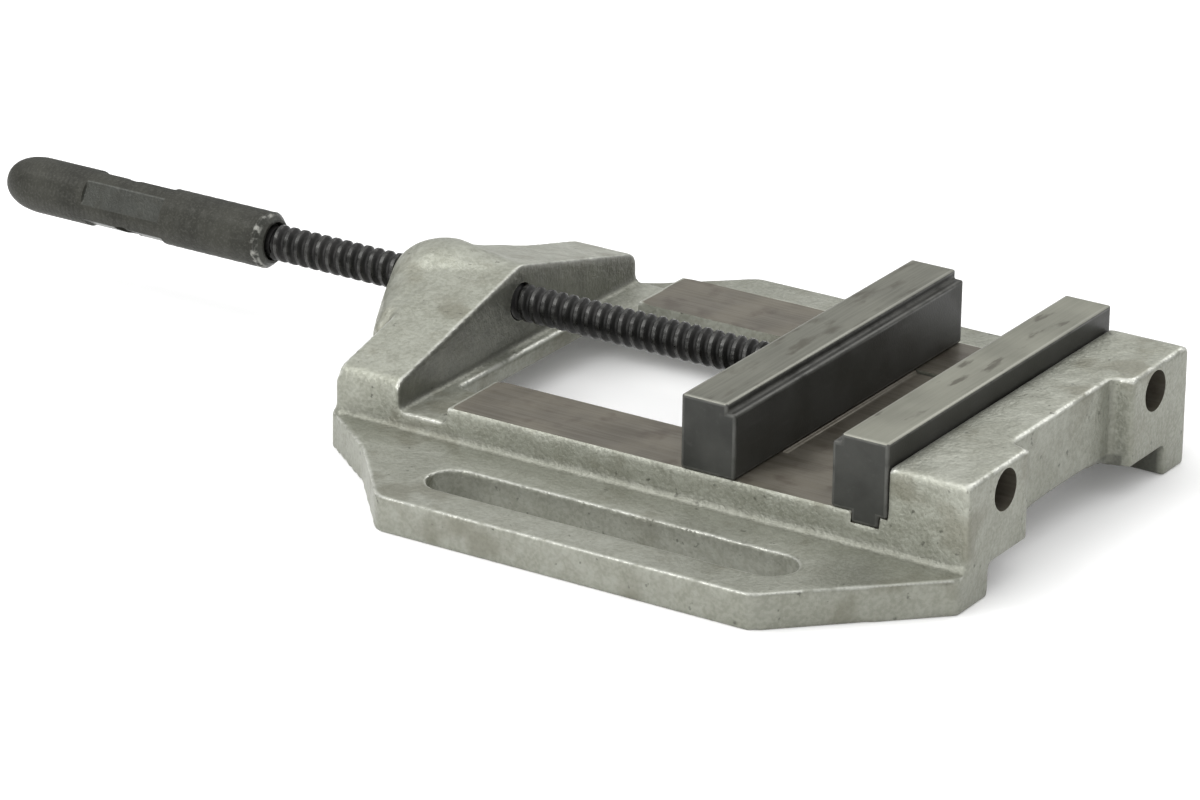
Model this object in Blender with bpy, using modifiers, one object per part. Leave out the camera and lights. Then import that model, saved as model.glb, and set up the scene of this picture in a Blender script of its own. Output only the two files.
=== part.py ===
"""Machine vise of the drill-press kind: a cast bed with a gabled screw tower, one fixed and one
sliding jaw, and a threaded spindle with a plain knurled grip.

Three frames hold the pieces. Each is an empty, and its pieces are placed in its own coordinates:
  bed       origin under the fixed jaw's back face, on the spindle's centre line, on the ground
  carriage  origin under the movable jaw's gripping face, so a new opening moves every sliding piece
  screw     origin on the spindle's axis, at the movable jaw's back face
+X runs from the grip towards the fixed jaw, +Z is up.
"""

import math

import bmesh
import bpy
from mathutils import Matrix, Vector

MM = 0.001

# Driving dimensions -------------------------------------------------------------------------
GAP = 0.3 * MM                # between pieces that touch or seat
SLIDE_GAP = 0.6 * MM          # between the keeper plate and the underside of the ways
CUT = 2 * MM                  # how far a cutter runs past the face that it opens

JAW_LENGTH = 150 * MM
JAW_THICKNESS = 20.6 * MM
JAW_HEIGHT = 26 * MM
JAW_STEP = 3.2 * MM
JAW_OPENING = 36.5 * MM       # as the vise stands
JAW_EDGE = 0.4 * MM

WAY_TOP = 24.2 * MM
WAY_UNDERSIDE = 11.2 * MM
WAY_WIDTH = 30.6 * MM
PAD_LENGTH = 18.8 * MM        # lower pad between the tower and the ways
PAD_TOP = 18.7 * MM
SLOT_LEDGE = 4.4 * MM         # pad left in front of the tower, before the central opening
FRONT_LEDGE = 2.0 * MM        # bed left behind the fixed jaw, before the end wall

TOWER_FACE = -189.4 * MM
TOWER_THICKNESS = 25.6 * MM
TOWER_EAVES = 28.8 * MM
TOWER_PEAK = 47.9 * MM
TOWER_PEAK_RADIUS = 14 * MM
TAIL_LENGTH = 2.4 * MM        # bed behind the tower's wall
BOSS_RADIUS = 15.6 * MM
BOSS_LENGTH = 23 * MM
BOSS_ROOT_WIDTH = 94 * MM
BOSS_SHOULDER = 6 * MM        # straight length behind the tower, before it rounds off
BOSS_END_RADIUS = 7.6 * MM
BOSS_SPREAD = 1.2             # wider than high

END_WALL_THICKNESS = 30 * MM
END_WALL_TOP = 42.9 * MM
END_RECESS_WIDTH = 67 * MM
END_RECESS_DEPTH = 7.4 * MM
END_RECESS_DRAFT = 2 * MM
END_ARCH_RISE = 4.3 * MM
FOOT_WIDTH = 15 * MM
REAR_WALL = 12 * MM
WALL_CORNER_RADIUS = 5 * MM

EAR_THICKNESS = 12.9 * MM
EAR_REACH = 52.5 * MM
FAR_EAR_REACH = 40 * MM
EAR_REAR_INSET = 26.4 * MM    # ear's outer rear corner, ahead of the tower's face
EAR_WAIST_INSET = -0.6 * MM   # the same, for the corner where the ear runs out
EAR_WAIST_REACH = 21 * MM
EAR_FRONT = -19.4 * MM
EAR_FRONT_ROOT = 5 * MM       # how far the near ear still stands out at the end wall
FAR_EAR_FRONT_ROOT = -1 * MM
EAR_CORNER_RADIUS = 8 * MM
EAR_SLOT_REAR_INSET = 31.9 * MM
EAR_SLOT_WIDTH = 18 * MM
EAR_SLOT_FRONT = -17.5 * MM
EAR_SLOT_BORDER = 15.7 * MM   # ear left outside the slot

TENON_WIDTH = 10 * MM
TENON_DEPTH = 3.8 * MM
TENON_BACK = 3.1 * MM         # from the jaw's back face

GUIDE_FRONT = 18.5 * MM       # ahead of the movable jaw's gripping face
GUIDE_REAR = 12 * MM          # behind its back face
GUIDE_FRONT_DROP = 1.0 * MM
KEEPER_THICKNESS = 4 * MM
KEEPER_OVERLAP = 7.6 * MM
KEEPER_INSET = 2 * MM

SPINDLE_RISE = 10.2 * MM      # of its axis above the ways
SPINDLE_RADIUS = 6.5 * MM
SPINDLE_BORE_GAP = 0.35 * MM
SPINDLE_LENGTH = 215.5 * MM   # from the jaw's back face to the grip
STUB_RADIUS = 5.5 * MM
STUB_LENGTH = 27 * MM
NOSE_RADIUS = 5 * MM
NOSE_LENGTH = 14.5 * MM
NOSE_GROOVE_START = 7 * MM
NOSE_GROOVE_RADIUS = 3.5 * MM
RETAINER_RADIUS = 2 * MM
RETAINER_LENGTH = 17 * MM
WASHER_RADIUS = 9 * MM
WASHER_THICKNESS = 2.1 * MM

GRIP_LENGTH = 116.5 * MM
GRIP_RADIUS = 10.2 * MM
GRIP_TURN = -30               # degrees, of the flats and the bar hole from upright
GRIP_DOME = 15 * MM
GRIP_TIP_RADIUS = 2.5 * MM
GRIP_CHAMFER = 2.5 * MM
GRIP_FLAT_START = 44.5 * MM   # from the grip's inner end
GRIP_FLAT_LENGTH = 34 * MM
GRIP_FLAT_DEPTH = 1.1 * MM
BAR_HOLE_RADIUS = 5.2 * MM
GRIP_PIN_RADIUS = 2 * MM
GRIP_PIN_OFFSET = 12 * MM
GRIP_PIN_REACH = 3.5 * MM     # past the spindle's axis

JAW_SCREW_RADIUS = 4 * MM     # M8 cap screws
JAW_SCREW_HEAD_RADIUS = 6.5 * MM
JAW_SCREW_HEAD = 8 * MM
HEX_RADIUS = 3.46 * MM
HEX_DEPTH = 4 * MM
FIXED_SCREW_OFFSET = 51.3 * MM
FIXED_SCREW_RISE = 9.8 * MM   # above the ways
FIXED_SCREW_GRIP = 14 * MM    # thread inside the fixed jaw
COUNTERBORE_RADIUS = 7.2 * MM
COUNTERBORE_DEPTH = 17 * MM
JAW_SCREW_OFFSET = 30 * MM
JAW_SCREW_RISE = 16 * MM      # thread inside the movable jaw
JAW_SCREW_SEAT = 15.1 * MM    # height of the head's seat above the ground
DOWEL_RADIUS = 3 * MM
DOWEL_LENGTH = 16 * MM
DOWEL_OFFSET = 17 * MM
KEEPER_SCREW_RADIUS = 3 * MM  # M6 countersunk screws
KEEPER_SCREW_HEAD_RADIUS = 5.6 * MM
KEEPER_SCREW_HEAD = 2.6 * MM
KEEPER_SCREW_LENGTH = 14 * MM
KEEPER_SCREW_OFFSET = 22 * MM
KEEPER_SCREW_INSET = 7 * MM

ROUND_STEPS = 32
SMALL_STEPS = 16              # screws, pins and their holes
ARC_STEPS = 6

# Worked out from them -----------------------------------------------------------------------
HALF_BED = JAW_LENGTH / 2
OPENING_HALF = HALF_BED - WAY_WIDTH
WAY_START = TOWER_FACE + PAD_LENGTH
SPINDLE_HEIGHT = WAY_TOP + SPINDLE_RISE
FIXED_SCREW_HEIGHT = WAY_TOP + FIXED_SCREW_RISE
EAR_REAR = TOWER_FACE + EAR_REAR_INSET
EAR_WAIST = TOWER_FACE + EAR_WAIST_INSET
EAR_SLOT_REAR = TOWER_FACE + EAR_SLOT_REAR_INSET
TOWER_REAR = TOWER_FACE - TOWER_THICKNESS
BED_REAR = TOWER_REAR - TAIL_LENGTH
SLOT_REAR = TOWER_FACE + SLOT_LEDGE
JAW_FLOOR = WAY_TOP + GAP
JAW_TOP = JAW_FLOOR + JAW_HEIGHT
FIXED_FACE = -GAP - JAW_THICKNESS
CARRIAGE_X = FIXED_FACE - JAW_OPENING
SCREW_X = -JAW_THICKNESS      # in the carriage frame
POCKET_HALF = HALF_BED - FOOT_WIDTH
GUIDE_BOTTOM = WAY_UNDERSIDE - GAP
KEEPER_TOP = WAY_UNDERSIDE - SLIDE_GAP
KEEPER_BOTTOM = KEEPER_TOP - KEEPER_THICKNESS
GRIP_END = CARRIAGE_X + SCREW_X - SPINDLE_LENGTH - GRIP_LENGTH
ORIGIN_X = -(GRIP_END + END_WALL_THICKNESS) / 2
ORIGIN_Y = (EAR_REACH - FAR_EAR_REACH) / 2


# Scene, materials and placing ---------------------------------------------------------------
def clear_scene():
    for obj in list(bpy.data.objects):
        bpy.data.objects.remove(obj, do_unlink=True)


def new_collection(name):
    collection = bpy.data.collections.new(name)
    bpy.context.scene.collection.children.link(collection)
    return collection


def frame_empty(name, location, parent=None):
    empty = bpy.data.objects.new(name, None)
    empty.location = location
    empty.parent = parent
    PARTS.objects.link(empty)
    return empty


def new_material(name, color, roughness, metallic):
    material = bpy.data.materials.new(name)
    material.use_nodes = True
    material.diffuse_color = (*color, 1)
    shader = material.node_tree.nodes["Principled BSDF"]
    shader.inputs["Base Color"].default_value = (*color, 1)
    shader.inputs["Roughness"].default_value = roughness
    shader.inputs["Metallic"].default_value = metallic
    return material


def add_object(name, mesh, parent, material=None):
    """A part when it has a material, otherwise a cutter or a piece to join."""
    obj = bpy.data.objects.new(name, mesh)
    obj.parent = parent
    if material is None:
        CUTTERS.objects.link(obj)
        obj.hide_render = True
        obj.display_type = "WIRE"
    else:
        PARTS.objects.link(obj)
        mesh.materials.append(material)
    return obj


def boolean(target, tool, operation="DIFFERENCE"):
    modifier = target.modifiers.new(tool.name, "BOOLEAN")
    modifier.operation = operation
    modifier.solver = "EXACT"
    modifier.object = tool


def bevel(obj, width, segments=1):
    modifier = obj.modifiers.new("edges", "BEVEL")
    modifier.width = width
    modifier.segments = segments
    modifier.limit_method = "ANGLE"


# Shapes -------------------------------------------------------------------------------------
def box(name, low, high, parent, material=None):
    bm = bmesh.new()
    bmesh.ops.create_cube(bm, size=1)
    low, high = Vector(low), Vector(high)
    size = high - low
    bmesh.ops.scale(bm, vec=size, verts=bm.verts)
    bmesh.ops.translate(bm, vec=(low + high) / 2, verts=bm.verts)
    mesh = bpy.data.meshes.new(name)
    bm.to_mesh(mesh)
    bm.free()
    return add_object(name, mesh, parent, material)


TURN = {
    "X": Matrix.Rotation(math.pi / 2, 4, "Y"),
    "Y": Matrix.Rotation(-math.pi / 2, 4, "X"),
    "Z": Matrix.Identity(4),
}


def cylinder(name, radius, start, length, axis, parent, material=None, steps=ROUND_STEPS):
    """From the point start, length along the axis."""
    bm = bmesh.new()
    bmesh.ops.create_cone(bm, cap_ends=True, segments=steps, radius1=radius, radius2=radius,
                          depth=length)
    bmesh.ops.translate(bm, vec=(0, 0, length / 2), verts=bm.verts)
    bmesh.ops.transform(bm, matrix=Matrix.Translation(start) @ TURN[axis], verts=bm.verts)
    mesh = bpy.data.meshes.new(name)
    bm.to_mesh(mesh)
    bm.free()
    mesh.shade_smooth()
    mesh.set_sharp_from_angle(angle=math.radians(40))
    return add_object(name, mesh, parent, material)


def turned(name, profile, start, axis, parent, material=None, steps=ROUND_STEPS):
    """profile: (distance along the axis, radius) from the low end to the high end."""
    mesh = bpy.data.meshes.new(name)
    points = [(radius, 0, along) for along, radius in reversed(profile)]
    mesh.from_pydata(points, [(i, i + 1) for i in range(len(points) - 1)], [])
    obj = add_object(name, mesh, parent, material)
    obj.location = start
    obj.rotation_euler = TURN[axis].to_euler()
    screw = obj.modifiers.new("turn", "SCREW")
    screw.steps = screw.render_steps = steps
    screw.use_merge_vertices = True
    screw.merge_threshold = 0.00001
    screw.use_smooth_shade = True
    return obj


def rounded(corners):
    """Outline through (u, v, radius) corners, each corner with a radius turned into an arc."""
    outline = []
    for i, (u, v, radius) in enumerate(corners):
        corner = Vector((u, v))
        if not radius:
            outline.append(corner)
            continue
        before = (Vector(corners[i - 1][:2]) - corner).normalized()
        after = (Vector(corners[(i + 1) % len(corners)][:2]) - corner).normalized()
        half = before.angle(after) / 2
        centre = corner + (before + after).normalized() * radius / math.sin(half)
        first = corner + before * radius / math.tan(half) - centre
        last = corner + after * radius / math.tan(half) - centre
        for step in range(ARC_STEPS + 1):
            share = step / ARC_STEPS
            outline.append(centre + (first.lerp(last, share)).normalized() * radius)
    return outline


# Where the outline's u, v and thickness directions point
PLANES = {
    "Z": Matrix(((1, 0, 0, 0), (0, 1, 0, 0), (0, 0, 1, 0), (0, 0, 0, 1))),
    "X": Matrix(((0, 0, 1, 0), (1, 0, 0, 0), (0, 1, 0, 0), (0, 0, 0, 1))),
    "Y": Matrix(((1, 0, 0, 0), (0, 0, -1, 0), (0, 1, 0, 0), (0, 0, 0, 1))),
}


def prism(name, corners, low, high, axis, parent, material=None):
    """A flat outline given thickness along the axis, from low to high."""
    curve = bpy.data.curves.new(name, "CURVE")
    curve.dimensions = "2D"
    curve.fill_mode = "BOTH"
    curve.extrude = (high - low) / 2
    outline = rounded(corners)
    spline = curve.splines.new("POLY")
    spline.points.add(len(outline) - 1)
    for point, (u, v) in zip(spline.points, outline):
        point.co = (u, v, 0, 1)
    spline.use_cyclic_u = True
    flat = bpy.data.objects.new(name, curve)
    CUTTERS.objects.link(flat)
    bpy.context.view_layer.update()
    mesh = bpy.data.meshes.new_from_object(flat.evaluated_get(bpy.context.evaluated_depsgraph_get()))
    bpy.data.objects.remove(flat)
    middle = Vector((0, 0, 0))
    middle["XYZ".index(axis)] = (low + high) / 2
    bm = bmesh.new()
    bm.from_mesh(mesh)
    bmesh.ops.remove_doubles(bm, verts=bm.verts, dist=0.000001)
    bmesh.ops.transform(bm, matrix=Matrix.Translation(middle) @ PLANES[axis], verts=bm.verts)
    bmesh.ops.recalc_face_normals(bm, faces=bm.faces)
    bm.to_mesh(mesh)
    bm.free()
    mesh.name = name
    mesh.materials.clear()
    return add_object(name, mesh, parent, material)


def loft(name, sections, parent):
    """A closed solid through rings of points that all have the same count."""
    bm = bmesh.new()
    rings = [[bm.verts.new(point) for point in section] for section in sections]
    for ring, following in zip(rings, rings[1:]):
        for i, vertex in enumerate(ring):
            j = (i + 1) % len(ring)
            bm.faces.new((vertex, ring[j], following[j], following[i]))
    bm.faces.new(rings[0])
    bm.faces.new(rings[-1])
    bmesh.ops.recalc_face_normals(bm, faces=bm.faces)
    mesh = bpy.data.meshes.new(name)
    bm.to_mesh(mesh)
    bm.free()
    return add_object(name, mesh, parent)


def both_sides(corners):
    """Closes an outline of (u, v, radius) corners by its mirror image in u."""
    return corners + [(-u, v, radius) for u, v, radius in reversed(corners)]


# Bed: the base casting ----------------------------------------------------------------------
def ear_plate(material):
    """The flat plate under the whole bed, with the two ears. It is the casting's first solid."""
    near = ear_outline(-1, EAR_REACH, EAR_FRONT_ROOT)
    far = ear_outline(1, FAR_EAR_REACH, FAR_EAR_FRONT_ROOT)
    return prism("base_casting", near + far[::-1], 0, EAR_THICKNESS, "Z", BED, material)


def ear_outline(side, reach, front_root):
    out = side * (HALF_BED + reach)
    waist = side * (HALF_BED + EAR_WAIST_REACH * reach / EAR_REACH)
    return [
        (END_WALL_THICKNESS, side * (HALF_BED + front_root), 3 * MM),
        (EAR_FRONT, out, EAR_CORNER_RADIUS),
        (EAR_REAR, out, EAR_CORNER_RADIUS),
        (EAR_WAIST, waist, EAR_CORNER_RADIUS * 3),
        (BED_REAR, side * HALF_BED, WALL_CORNER_RADIUS),
    ]


def bed_block():
    corners = [
        (BED_REAR, -HALF_BED, WALL_CORNER_RADIUS),
        (END_WALL_THICKNESS, -HALF_BED, WALL_CORNER_RADIUS / 2),
        (END_WALL_THICKNESS, HALF_BED, WALL_CORNER_RADIUS / 2),
        (BED_REAR, HALF_BED, WALL_CORNER_RADIUS),
    ]
    return prism("bed_block", corners, 0, WAY_TOP, "Z", BED)


def end_wall():
    corners = both_sides([(-HALF_BED, 0, 0), (-HALF_BED, END_WALL_TOP, WALL_CORNER_RADIUS / 2)])
    return prism("end_wall", corners, 0, END_WALL_THICKNESS, "X", BED)


def tower():
    corners = [
        (-HALF_BED, 0, 0),
        (HALF_BED, 0, 0),
        (HALF_BED, TOWER_EAVES, WALL_CORNER_RADIUS),
        (0, TOWER_PEAK, TOWER_PEAK_RADIUS),
        (-HALF_BED, TOWER_EAVES, WALL_CORNER_RADIUS),
    ]
    return prism("tower", corners, TOWER_REAR, TOWER_FACE, "X", BED)


def boss_reach(angle):
    """How far the boss's root reaches from the spindle's axis, at an angle from +Y upwards."""
    across, up = math.cos(angle), math.sin(angle)
    roof_slope = (TOWER_PEAK - TOWER_EAVES) / HALF_BED
    reach = BOSS_ROOT_WIDTH / 2 / max(abs(across), 0.001)
    roof = up + roof_slope * abs(across)
    if roof > 0:
        reach = min(reach, (TOWER_PEAK - GAP - SPINDLE_HEIGHT) / roof)
    if up < 0:
        reach = min(reach, (SPINDLE_HEIGHT - WAY_UNDERSIDE) / -up)
    return reach


def boss_ring(x, root_share, radius, spread=1):
    """A ring that is root_share of the way from the round boss out to its root on the tower."""
    ring = []
    for step in range(ROUND_STEPS):
        angle = 2 * math.pi * (step + 0.5) / ROUND_STEPS
        reach = radius + (max(boss_reach(angle), radius) - radius) * root_share
        ring.append((x, spread * reach * math.cos(angle), SPINDLE_HEIGHT + reach * math.sin(angle)))
    return ring


def boss():
    """Spread out into the tower's rear face, fading into its roof, and rounded off to the rear."""
    shoulder = TOWER_REAR - BOSS_SHOULDER
    end_turn = math.acos(BOSS_END_RADIUS / BOSS_RADIUS)
    dome = (BOSS_LENGTH - BOSS_SHOULDER) / math.sin(end_turn)
    fade_radius = TOWER_PEAK - SPINDLE_HEIGHT - GAP - TOWER_PEAK_RADIUS * 0.05
    sections = [boss_ring(TOWER_FACE - GAP, 0, fade_radius), boss_ring(TOWER_REAR, 1, BOSS_RADIUS)]
    for step in range(ARC_STEPS + 1):
        turn = end_turn * step / ARC_STEPS
        x = shoulder - dome * math.sin(turn)
        root_share = max(0, 1 - (TOWER_REAR - x) / BOSS_LENGTH) ** 1.2
        sections.append(boss_ring(x, root_share, BOSS_RADIUS * math.cos(turn), BOSS_SPREAD))
    return loft("boss", sections, BED)


def ear_slot(side, reach):
    outer = HALF_BED + reach - EAR_SLOT_BORDER
    inner = outer - EAR_SLOT_WIDTH
    nearly = EAR_SLOT_WIDTH / 2 * 0.999
    corners = [
        (EAR_SLOT_REAR, side * inner, nearly),
        (EAR_SLOT_FRONT, side * inner, nearly),
        (EAR_SLOT_FRONT, side * outer, nearly),
        (EAR_SLOT_REAR, side * outer, nearly),
    ]
    return prism("ear_slot", corners, -CUT, EAR_THICKNESS + CUT, "Z", BED)


def end_recess():
    back = END_WALL_THICKNESS - END_RECESS_DEPTH
    half = END_RECESS_WIDTH / 2
    mouth = half + END_RECESS_DRAFT * (END_RECESS_DEPTH + CUT) / END_RECESS_DEPTH
    corners = [
        (back, -half, 0),
        (END_WALL_THICKNESS + CUT, -mouth, 0),
        (END_WALL_THICKNESS + CUT, mouth, 0),
        (back, half, 0),
    ]
    return prism("end_recess", corners, WAY_UNDERSIDE - CUT, END_WALL_TOP + CUT, "Z", BED)


def end_arch():
    """A shallow arch over the open underside of the end wall."""
    half = END_RECESS_WIDTH / 2
    steps = 2 * ARC_STEPS
    crown = []
    for step in range(steps + 1):
        angle = math.pi * step / steps
        crown.append((half * math.cos(angle), WAY_UNDERSIDE + END_ARCH_RISE * math.sin(angle), 0))
    foot = [(-half, WAY_UNDERSIDE - CUT, 0), (half, WAY_UNDERSIDE - CUT, 0)]
    return prism("end_arch", foot + crown, -FRONT_LEDGE - CUT, END_WALL_THICKNESS + CUT, "X", BED)


def make_base(material):
    base = ear_plate(material)
    for piece in (bed_block(), end_wall(), tower(), boss()):
        boolean(base, piece, "UNION")
    wide = HALF_BED + EAR_REACH + CUT
    tenon_front = -GAP - TENON_BACK - TENON_WIDTH
    boolean(base, box("bed_opening", (SLOT_REAR, -OPENING_HALF, -CUT),
                      (-FRONT_LEDGE, OPENING_HALF, END_WALL_TOP), BED))
    boolean(base, box("underside", (BED_REAR + REAR_WALL, -POCKET_HALF, -CUT),
                      (END_WALL_THICKNESS + CUT, POCKET_HALF, WAY_UNDERSIDE), BED))
    boolean(base, box("pad_cut", (TOWER_FACE, -wide, PAD_TOP), (WAY_START, wide, END_WALL_TOP), BED))
    boolean(base, box("tenon_groove", (tenon_front - GAP, -HALF_BED - CUT, WAY_TOP - TENON_DEPTH),
                      (-TENON_BACK, HALF_BED + CUT, END_WALL_TOP), BED))
    boolean(base, end_recess())
    boolean(base, end_arch())
    boolean(base, cylinder("spindle_bore", SPINDLE_RADIUS + SPINDLE_BORE_GAP,
                           (TOWER_REAR - BOSS_LENGTH - CUT, 0, SPINDLE_HEIGHT),
                           BOSS_LENGTH + TOWER_THICKNESS + 2 * CUT, "X", BED))
    for side, reach in ((-1, EAR_REACH), (1, FAR_EAR_REACH)):
        boolean(base, ear_slot(side, reach))
        y = side * FIXED_SCREW_OFFSET
        boolean(base, cylinder("screw_hole", JAW_SCREW_RADIUS + GAP, (-CUT, y, FIXED_SCREW_HEIGHT),
                               END_WALL_THICKNESS + 2 * CUT, "X", BED, steps=SMALL_STEPS))
        seat = END_WALL_THICKNESS - COUNTERBORE_DEPTH
        boolean(base, cylinder("counterbore", COUNTERBORE_RADIUS, (seat, y, FIXED_SCREW_HEIGHT),
                               COUNTERBORE_DEPTH + CUT, "X", BED))
    return base


# Jaws ---------------------------------------------------------------------------------------
def jaw_bar(name, face, back, parent, material):
    """The stepped bar of both jaws. face is the gripping side's x, back the other side's."""
    inward = math.copysign(JAW_STEP, back - face)
    corners = [
        (face, JAW_FLOOR, 0),
        (face, JAW_TOP - JAW_STEP, 0),
        (face + inward, JAW_TOP - JAW_STEP, 0),
        (face + inward, JAW_TOP, 0),
        (back, JAW_TOP, 0),
        (back, JAW_FLOOR, 0),
    ]
    bar = prism(name, corners, -HALF_BED, HALF_BED, "Y", parent, material)
    bevel(bar, JAW_EDGE)
    return bar


def make_fixed_jaw(material):
    jaw = jaw_bar("fixed_jaw", FIXED_FACE, -GAP, BED, material)
    front = -GAP - TENON_BACK - TENON_WIDTH
    for side in (-1, 1):
        ends = sorted((side * (OPENING_HALF + 2 * MM), side * HALF_BED))
        low = (front, ends[0], WAY_TOP + GAP - TENON_DEPTH)
        tenon = box("tenon", low, (front + TENON_WIDTH, ends[1], JAW_FLOOR + JAW_STEP), BED)
        boolean(jaw, tenon, "UNION")
        start = (-GAP - FIXED_SCREW_GRIP - CUT, side * FIXED_SCREW_OFFSET, FIXED_SCREW_HEIGHT)
        boolean(jaw, cylinder("jaw_thread", JAW_SCREW_RADIUS + GAP, start, FIXED_SCREW_GRIP + 2 * CUT,
                              "X", BED, steps=SMALL_STEPS))


def make_movable_jaw(material):
    jaw = jaw_bar("movable_jaw", 0, SCREW_X, CARRIAGE, material)
    bottom = JAW_FLOOR - CUT
    middle = SCREW_X / 2
    boolean(jaw, cylinder("nose_bore", NOSE_RADIUS + GAP, (SCREW_X - CUT, 0, SPINDLE_HEIGHT),
                          NOSE_LENGTH + GAP + CUT, "X", CARRIAGE))
    for side in (-1, 1):
        boolean(jaw, cylinder("screw_thread", JAW_SCREW_RADIUS + GAP,
                              (middle, side * JAW_SCREW_OFFSET, bottom),
                              CUT + JAW_SCREW_RISE + GAP, "Z", CARRIAGE, steps=SMALL_STEPS))
        boolean(jaw, cylinder("dowel_hole", DOWEL_RADIUS + GAP,
                              (middle, side * DOWEL_OFFSET, bottom),
                              CUT + DOWEL_LENGTH / 2 + GAP, "Z", CARRIAGE, steps=SMALL_STEPS))
        x, y = retainer_place(side)
        boolean(jaw, cylinder("retainer_hole", RETAINER_RADIUS + GAP, (x, y, bottom),
                              CUT + RETAINER_LENGTH + 2 * GAP, "Z", CARRIAGE, steps=SMALL_STEPS))


# Carriage: what slides under and in the movable jaw ------------------------------------------
def retainer_place(side):
    """Where a retaining pin stands, beside the spindle nose's groove."""
    x = SCREW_X + NOSE_GROOVE_START + GAP + RETAINER_RADIUS
    return x, side * (NOSE_GROOVE_RADIUS + GAP + RETAINER_RADIUS)


def keeper_screw_places():
    rear = SCREW_X - GUIDE_REAR + KEEPER_SCREW_INSET
    front = GUIDE_FRONT - KEEPER_SCREW_INSET
    for end, x in (("rear", rear), ("front", front)):
        for side_name, side in (("near", -1), ("far", 1)):
            yield f"keeper_screw_{end}_{side_name}", x, side * KEEPER_SCREW_OFFSET


def keeper_screw_profile(clearance, run_out):
    """Countersunk screw from its head's flat up, as (height above the plate's underside, radius).

    A cutter has a clearance all round, and a straight run out below the head.
    """
    head, shank = KEEPER_SCREW_HEAD_RADIUS + clearance, KEEPER_SCREW_RADIUS + clearance
    tip = GAP + KEEPER_SCREW_LENGTH + clearance
    return [
        (-run_out, 0),
        (-run_out, head),
        (GAP, head),
        (GAP + KEEPER_SCREW_HEAD, shank),
        (tip, shank),
        (tip, 0),
    ]


def make_guide_block(material):
    half = OPENING_HALF - GAP
    corners = [
        (SCREW_X - GUIDE_REAR, GUIDE_BOTTOM, 0),
        (GUIDE_FRONT, GUIDE_BOTTOM, 0),
        (GUIDE_FRONT, WAY_TOP - GUIDE_FRONT_DROP, 0),
        (GAP, WAY_TOP - GUIDE_FRONT_DROP, 0),
        (0, WAY_TOP, 0),
        (SCREW_X - GUIDE_REAR, WAY_TOP, 0),
    ]
    guide = prism("guide_block", corners, -half, half, "Y", CARRIAGE, material)
    middle = SCREW_X / 2
    for side in (-1, 1):
        y = side * JAW_SCREW_OFFSET
        boolean(guide, cylinder("guide_screw_hole", JAW_SCREW_RADIUS + GAP, (middle, y, 0),
                                JAW_FLOOR + CUT, "Z", CARRIAGE, steps=SMALL_STEPS))
        boolean(guide, cylinder("guide_counterbore", JAW_SCREW_HEAD_RADIUS + GAP, (middle, y, 0),
                                JAW_SCREW_SEAT, "Z", CARRIAGE, steps=SMALL_STEPS))
        start = JAW_FLOOR - DOWEL_LENGTH / 2 - GAP
        boolean(guide, cylinder("guide_dowel_hole", DOWEL_RADIUS + GAP,
                                (middle, side * DOWEL_OFFSET, start),
                                DOWEL_LENGTH, "Z", CARRIAGE, steps=SMALL_STEPS))
    for name, x, y in keeper_screw_places():
        boolean(guide, turned(name + "_thread", keeper_screw_profile(GAP, CUT), (x, y, KEEPER_BOTTOM), "Z",
                              CARRIAGE, steps=SMALL_STEPS))


def make_keeper_plate(material):
    half = OPENING_HALF + KEEPER_OVERLAP
    plate = box("keeper_plate", (SCREW_X - GUIDE_REAR + KEEPER_INSET, -half, KEEPER_BOTTOM),
                (GUIDE_FRONT - KEEPER_INSET, half, KEEPER_TOP), CARRIAGE, material)
    for side in (-1, 1):
        start = (SCREW_X / 2, side * JAW_SCREW_OFFSET, KEEPER_BOTTOM - CUT)
        boolean(plate, cylinder("plate_head_hole", JAW_SCREW_HEAD_RADIUS + GAP, start,
                                KEEPER_THICKNESS + 2 * CUT, "Z", CARRIAGE, steps=SMALL_STEPS))
    for name, x, y in keeper_screw_places():
        boolean(plate, turned(name + "_seat", keeper_screw_profile(GAP, CUT), (x, y, KEEPER_BOTTOM), "Z",
                              CARRIAGE, steps=SMALL_STEPS))


def make_carriage_pins(steel):
    middle = SCREW_X / 2
    for side_name, side in (("near", -1), ("far", 1)):
        start = (middle, side * DOWEL_OFFSET, JAW_FLOOR - DOWEL_LENGTH / 2)
        cylinder("jaw_dowel_" + side_name, DOWEL_RADIUS, start, DOWEL_LENGTH, "Z", CARRIAGE, steel,
                 steps=SMALL_STEPS)
        x, y = retainer_place(side)
        cylinder("retaining_pin_" + side_name, RETAINER_RADIUS, (x, y, JAW_FLOOR + GAP),
                 RETAINER_LENGTH, "Z", CARRIAGE, steel, steps=SMALL_STEPS)
    ring = turned("thrust_washer", [(0, 0), (0, WASHER_RADIUS), (WASHER_THICKNESS, WASHER_RADIUS),
                                    (WASHER_THICKNESS, 0)],
                  (SCREW_X - GAP - WASHER_THICKNESS, 0, SPINDLE_HEIGHT), "X", CARRIAGE, steel)
    boolean(ring, cylinder("washer_bore", NOSE_RADIUS + GAP,
                           (SCREW_X - GAP - WASHER_THICKNESS - CUT, 0, SPINDLE_HEIGHT),
                           WASHER_THICKNESS + 2 * CUT, "X", CARRIAGE))


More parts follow.
